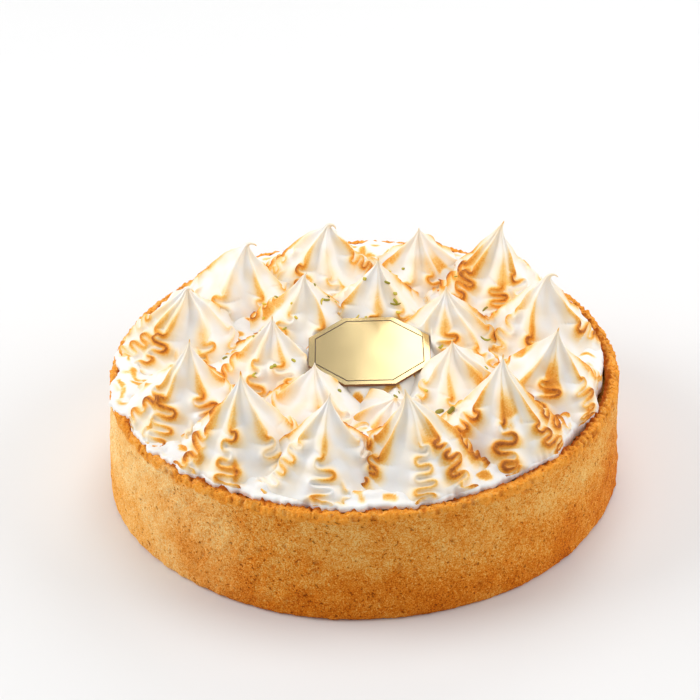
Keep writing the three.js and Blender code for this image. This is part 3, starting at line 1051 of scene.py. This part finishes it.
def side_push(points, angle, pits):
    """How far the side stands out: spread at the foot, settled in waves, sandy and pitted."""
    height = points[:, 2]
    push = FOOT_SPREAD * (1 - smooth(0, 34, height)) - FOOT_ROUND * (1 - smooth(0, 1.6, height))
    push += 0.30 * np.sin(3 * angle + 0.8) + 0.25 * np.sin(7 * angle + 2) - 0.2
    push += LEFT_BULGE * np.exp(-((turn_apart(angle, 192) / 36) ** 2)) * (1 - smooth(26, 50, height))
    push += 0.22 * lumps(points, 9, 31) + 0.14 * lumps(points, 3.4, 32, 16)
    return push - PIT_DEPTH * pits

# %% [markdown]
# ### The rim
#
# A rim of dough is crumbly all the way round. At the right, where the meringue stopped
# short of it, it also shows ribs from the press of a finger or a fork. Crumbs and ribs are
# both sums of waves, so the two rules work on all points at once.

# %% Crumbs and ribs
RIB_EVERY = 4.2  # mm


def crumbs(points):
    """Crumbly unevenness, from broken edges down to single crumbs."""
    coarse = 0.5 * lumps(points, 7, 34, 14) + 0.6 * lumps(points, 3, 35, 18)
    return coarse + 0.35 * lumps(points, 1.8, 38, 18)


def rim_ribs(points, angle):
    """Ribs across the rim, uneven in their spacing and strength."""
    count = round(2 * math.pi * RIM_RADIUS / RIB_EVERY)
    ribs = np.sin(angle * count + 2.2 * lumps(points, 22, 33) + 1.0 * lumps(points, 9, 39))
    return ribs * (0.6 + 0.4 * lumps(points, 12, 40))

# %% [markdown]
# ### Shaping the shell
#
# The side and the rim are shaped together, because they meet at the shoulder, which is
# rounded off. At the left front the rim is torn, with crumbs that stand up or have broken
# off and a crevice along the meringue. The pits, the grooves between the ribs, the low
# crumbs and the crevice are coloured darker, which is painted shade.

# %% Shape of the shell
RIM_ROUND = 2.2  # how far the shoulder is rounded off, mm


def shape_shell(shell):
    """Settles the side, rounds, ribs and tears the rim, and paints "rim" and the painted shadow of its pits,
    grooves, low crumbs and crevice.
    """
    points = points_of(shell)
    radius = np.hypot(points[:, 0], points[:, 1])
    angle = np.arctan2(points[:, 1], points[:, 0])
    level = points[:, 2]
    inwards = np.clip(RIM_RADIUS - radius, 0, RIM_WIDTH)
    on_side = 1 - smooth(0.2, 0.6, inwards)
    on_top = smooth(RIM_TOP - 0.5, RIM_TOP - 0.1, level)
    near_rim = smooth(RIM_TOP - 5, RIM_TOP - 1.5, level)
    pits = pit_depths(points, np.random.default_rng(7))
    crumb = crumbs(points)
    ribs = rim_ribs(points, angle)
    right = right_side(angle)
    torn = np.exp(-((turn_apart(angle, 226) / 40) ** 2)) * np.clip(0.8 + 0.6 * lumps(points, 13, 41), 0, 1.2)
    height = level - RIM_ROUND * smooth(RIM_TOP - 8, RIM_TOP, level) * (1 - on_top * (1 - on_side))
    turned = np.clip(inwards / RIM_ROUND, 0, 1)
    height += on_top * (1 - on_side) * RIM_ROUND * (np.sqrt(1 - (1 - turned) ** 2) - 1)
    rough = 0.5 + 0.35 * smooth(2, 4.5, inwards) + 0.55 * torn
    stand = rough * crumb + 0.7 * ribs * right - 0.9 * smooth(4.6, RIM_WIDTH, inwards)
    height += near_rim * on_top * stand
    ragged = (0.16 + 0.2 * torn) * crumb + 0.25 * ribs * right
    push = side_push(points, angle, pits) * on_side
    push += near_rim * ragged * (1 - smooth(1.0, 3.0, inwards))
    push += on_top * smooth(3.5, 5, inwards) * 0.5 * lumps(points, 5, 36)
    scale = np.where(radius < 1, 1, (radius + push) / np.maximum(radius, 1))
    move_points(shell, np.column_stack([points[:, :2] * scale[:, None], height]))
    browned = level + 1.2 * lumps(points, 8, 37) + 0.5 * crumb
    paint(shell, "rim", smooth(RIM_TOP - 3.0 - 2.0 * right, RIM_TOP - 0.3, browned))
    # Painted shade: the grooves between the ribs, the low crumbs, the pits and the crevice along the
    # meringue are darkened in colour.
    groove_shade = 0.4 * right * smooth(0.1, -0.8, ribs) + 0.5 * smooth(-0.2, -1.1, crumb) * on_top
    crevice_shade = on_top * smooth(3.2, 5.4, inwards + (0.9 + 0.5 * torn) * crumb + 0.9 * torn)
    shade = 0.25 * pits * on_side + near_rim * groove_shade + 0.9 * crevice_shade
    paint(shell, "shade", np.clip(shade, 0, 0.95))


shape_shell(shell)
finish_piece(shell, "shortcrust_shell", baked_shortcrust)
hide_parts("crust")
print("pits in the side:", PITS)

# %% [markdown]
# ## The gold card
#
# The card is a small octagon of brown card stock with gold mirror foil on its face. Its
# solid already has the true shape, so it stays and only gets its finish: faces that look up
# are foil, and the rest is the cut edge. A slightly bowed normal lets the soft lights fade
# across the foil. A thin dark line runs round just inside the edge. It is a flat ring of
# its own, made from an octagon that is inset, with the middle deleted.

# %% Card finish and border line
def foil_finish():
    """Gold foil on faces that look up, brown card on the cut edge."""
    finish = Finish("gold_foil")
    facing = finish.node("ShaderNodeNewGeometry", output="Normal")
    upward = finish.node("ShaderNodeSeparateXYZ", {}, {0: facing}, output="Z").between(0.9, 0.97)
    across = finish.node("ShaderNodeSeparateXYZ", {}, {0: finish.place()}, output="X") - CARD_CENTRE[0] * MM
    bowed = across * across * -1.1 + finish.noise(30, detail=1) * 0.0006
    colour = finish.mix(upward, from_hex("7A4A1E"), from_hex("E8CF98"))
    return finish.set(
        Base_Color=colour,
        Metallic=upward,
        Roughness=0.55 - 0.29 * upward,
        Normal=finish.bump(bowed, 1000),  # bowed is in metres
    )


def ink_finish():
    """Dark brown ink, a little uneven."""
    finish = Finish("dark_print")
    colour = finish.mix(finish.noise(2), from_hex("3A2A14"), from_hex("5A4020"))
    return finish.set(Base_Color=colour, Roughness=0.45)


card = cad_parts["card"]
card.material_slots[0].material = foil_finish()
dark_print = ink_finish()
print("card finish:", card.material_slots[0].material.name)

# %% [markdown]
# ### The border line
#
# The line is drawn flat round the origin, and then tilted by one degree and laid on the
# face of the card, as the card itself lies.

# %% Border line
CARD_THICKNESS = 1.2
CARD_TILT = math.radians(1)
LINE_INSET = 3.0
LINE_WIDTH = 0.45
LINE_THICKNESS = 0.05
LINE_LIFT = 0.06  # how far the line lies above the face, so that it isn't lost in it


def lay_on_card(piece):
    """Tilts a flat piece drawn round the origin and lays it on the face of the card."""
    face = (card_low.z + card_high.z) / 2 / MM + CARD_THICKNESS / 2 + LINE_LIFT
    x, y, z = points_of(piece).T
    across = y * math.cos(CARD_TILT) + CARD_CENTRE[1]
    move_points(piece, np.column_stack([x + CARD_CENTRE[0], across, z + y * math.sin(CARD_TILT) + face]))


def border_line():
    """A thin eight-sided ring, laid on the card."""
    start_clean()
    outer = (CARD_ACROSS / 2 - LINE_INSET) / math.cos(math.pi / 8)
    bpy.ops.mesh.primitive_circle_add(
        vertices=8, radius=outer * MM, fill_type="NGON", rotation=(0, 0, math.pi / 8))
    bpy.ops.object.transform_apply(location=True, rotation=True, scale=True)
    line = bpy.context.object
    bpy.ops.object.mode_set(mode="EDIT")
    bpy.ops.mesh.select_all(action="SELECT")
    bpy.ops.mesh.inset(thickness=LINE_WIDTH * MM, depth=0)
    bpy.ops.mesh.delete(type="FACE")
    bpy.ops.mesh.select_all(action="SELECT")
    bpy.ops.mesh.extrude_region_move(TRANSFORM_OT_translate={"value": (0, 0, LINE_THICKNESS * MM)})
    bpy.ops.mesh.select_all(action="SELECT")
    bpy.ops.mesh.normals_make_consistent(inside=False)
    bpy.ops.object.mode_set(mode="OBJECT")
    lay_on_card(line)
    return line


line = finish_piece(border_line(), "card_border", dark_print)
print("card border:", len(line.data.polygons), "faces")

# %% [markdown]
# ## Lime zest
#
# Flecks of grated zest lie round the card, from thin curls to little crumbs, and two larger
# dark crumbs in front. One fleck is modelled from a cube that is subdivided and rounded,
# and copied with its own size, bend and colour. Each is laid on the meringue by dropping a
# line from above onto the finished kisses and bed.

# %% Zest finish and one fleck
def zest_finish():
    """Green to yellow zest, by the ripeness kept at the points."""
    finish = Finish("lime_zest")
    ripeness = finish.painted("ripeness") + 0.25 * (finish.noise(0.8) - 0.5)
    colour = finish.ramp(ripeness, [
        (0.0, "867A16"), (0.3, "A6A02C"), (0.55, "C4B63A"), (0.8, "E2C43E"), (1.0, "F0D865")])
    relief = finish.bump(finish.noise(0.5), 0.2, 0.6)
    return finish.set(Base_Color=colour, Roughness=0.45, Normal=relief)


def fleck_blank():
    """A rounded cube of one millimetre."""
    start_clean()
    bpy.ops.mesh.primitive_cube_add(size=MM)
    fleck = bpy.context.object
    bpy.ops.object.mode_set(mode="EDIT")
    bpy.ops.mesh.select_all(action="SELECT")
    bpy.ops.mesh.subdivide(number_cuts=2, smoothness=0.6)
    bpy.ops.object.mode_set(mode="OBJECT")
    return fleck


def landing_tree(pieces):
    """One search tree over the meringue's finished surface."""
    points, faces, start = [], [], 0
    for piece in pieces:
        points.extend(vertex.co.copy() for vertex in piece.data.vertices)
        for face in piece.data.polygons:
            if len(face.vertices) < 5:
                faces.append(tuple(start + i for i in face.vertices))
        start += len(piece.data.vertices)
    return BVHTree.FromPolygons(points, faces)


fleck = fleck_blank()
meringue_tree = landing_tree([*kiss_pieces, bed])
print("one fleck:", len(fleck.data.polygons), "faces")

# %% [markdown]
# ### Laying a fleck
#
# A grater leaves mostly crumbs, and now and then a thin curl. Each copy is stretched, bent,
# turned at random and laid along the surface that it fell on.

# %% Laying one fleck
CURLS = 0.2  # share of the flecks that are thin curls


def fleck_form(random):
    """Size in mm and bend of one fleck: one in five is a long thin curl."""
    if random.uniform() < CURLS:
        long, thick = random.uniform(2.0, 3.4), 0.35
        wide, bend = random.uniform(0.45, 0.8), random.uniform(0.15, 0.5)
    else:
        long, thick = random.uniform(0.8, 1.9), random.uniform(0.4, 0.7)
        wide, bend = random.uniform(0.6, 1.2), 0.2 * random.uniform(0.15, 0.5)
    return np.array([long, wide, thick]), bend


def lay_fleck(size, bend, long, hit, normal, random):
    """One fleck of the given size, bent, turned at random and laid on the surface."""
    points = points_of(fleck) * size
    arch = bend * points[:, 0] ** 2 / max(long, 1)
    points[:, 1] += 1.6 * arch
    points[:, 2] += 0.25 * arch + 0.1
    spin = Matrix.Rotation(random.uniform(0, 2 * math.pi), 3, "Z")
    lay = normal.to_track_quat("Z", "Y").to_matrix() @ spin
    copy = fleck.copy()
    copy.data = fleck.data.copy()
    scene.collection.objects.link(copy)
    move_points(copy, points @ np.array(lay).T + np.array(hit) / MM)
    return copy

# %% [markdown]
# ### Scattering the flecks
#
# A fleck that would land under the card or on a steep flank falls again somewhere else. The
# flecks are joined in one piece at the end, which is easier to handle than seventy of them.

# %% Scattered flecks
ZEST_COUNT = 74
ZEST_NEAREST = 26  # distance of the innermost flecks from the card's middle, mm
ZEST_SPREAD = 52  # how much farther out the outermost ones lie, mm
STEEPEST = 0.25  # how far up a surface must look for a fleck to stay on it
LARGE_CRUMBS = [(34, -48), (39, -57)]  # places of the two large dark crumbs, mm
LARGE_SIZE = np.array([3.0, 2.4, 1.6])
DROP_HEIGHT = 200  # where the lines start that find the surface, mm


def scatter_zest():
    """All flecks, joined in one piece."""
    random = np.random.default_rng(5)
    flecks = []
    while len(flecks) < ZEST_COUNT:
        large = len(flecks) < len(LARGE_CRUMBS)
        turn, out = random.uniform(0, 2 * math.pi), ZEST_NEAREST + ZEST_SPREAD * random.uniform() ** 1.3
        spot = CARD_CENTRE + out * np.array([math.cos(turn), math.sin(turn)])
        if large:
            spot = np.array(LARGE_CRUMBS[len(flecks)])
        if np.abs(spot - CARD_CENTRE).max() < CARD_ACROSS / 2 + 1.5:
            continue
        above = Vector((spot[0] * MM, spot[1] * MM, DROP_HEIGHT * MM))
        hit, normal, _, _ = meringue_tree.ray_cast(above, Vector((0, 0, -1)))
        if hit is None or (normal.z < STEEPEST and not large):
            continue
        size, bend = fleck_form(random)
        copy = lay_fleck(LARGE_SIZE if large else 1.2 * size, bend, size[0], hit, normal, random)
        ripeness = 0.1 if large else random.uniform(0.1, 1)
        paint(copy, "ripeness", np.full(len(copy.data.vertices), ripeness))
        flecks.append(copy)
    bpy.data.objects.remove(fleck)
    start_clean()
    for copy in flecks:
        copy.select_set(True)
    bpy.context.view_layer.objects.active = flecks[0]
    bpy.ops.object.join()
    return bpy.context.object


zest = finish_piece(scatter_zest(), "lime_zest", zest_finish())
print("zest:", ZEST_COUNT, "flecks,", len(zest.data.polygons), "faces")

# %% [markdown]
# ## Floor, light and exposure
#
# The photograph is high-key: a white table, big soft lights and white walls that fill the
# shadows. The floor is a pale plane, a large round light stands at the left, a weaker one at
# the right, one hangs above and a small one shines from behind, and the world is a soft
# white. The Standard view keeps whites white.

# %% Floor and lights
LIT_POINT = Vector((0, 0, 0.05))  # where all lights point, metres
LIGHTS = [  # name, place and width in metres, power in watts
    ("window_left", (-1.5, 0.1, 1.0), 1.2, 17.5),
    ("window_right", (1.5, 0.0, 0.9), 1.2, 12.2),
    ("overhead", (0.1, 0.5, 1.7), 1.0, 8.7),
    ("behind", (0.42, 1.5, 1.10), 0.8, 5.0),
]
WORLD_LIGHT = 0.46


def floor_finish():
    """A plain pale table."""
    finish = Finish("pale_table")
    return finish.set(Base_Color=from_hex("E6E6E6"), Roughness=0.6, Specular_IOR_Level=0.2)


start_clean()
bpy.ops.mesh.primitive_plane_add(size=6)
floor = bpy.context.object
floor.name = "floor"
floor.data.materials.append(floor_finish())

for name, place, width, power in LIGHTS:
    data = bpy.data.lights.new(name, "AREA")
    data.shape = "DISK"
    data.size = width
    data.energy = power
    lamp = bpy.data.objects.new(name, data)
    scene.collection.objects.link(lamp)
    lamp.location = place
    lamp.rotation_euler = (LIT_POINT - Vector(place)).to_track_quat("-Z", "Y").to_euler()
scene.world = scene.world or bpy.data.worlds.new("world")
scene.world.use_nodes = True
sky = scene.world.node_tree.nodes["Background"]
sky.inputs["Color"].default_value = (1, 1, 1, 1)
sky.inputs["Strength"].default_value = WORLD_LIGHT
scene.view_settings.view_transform = "Standard"
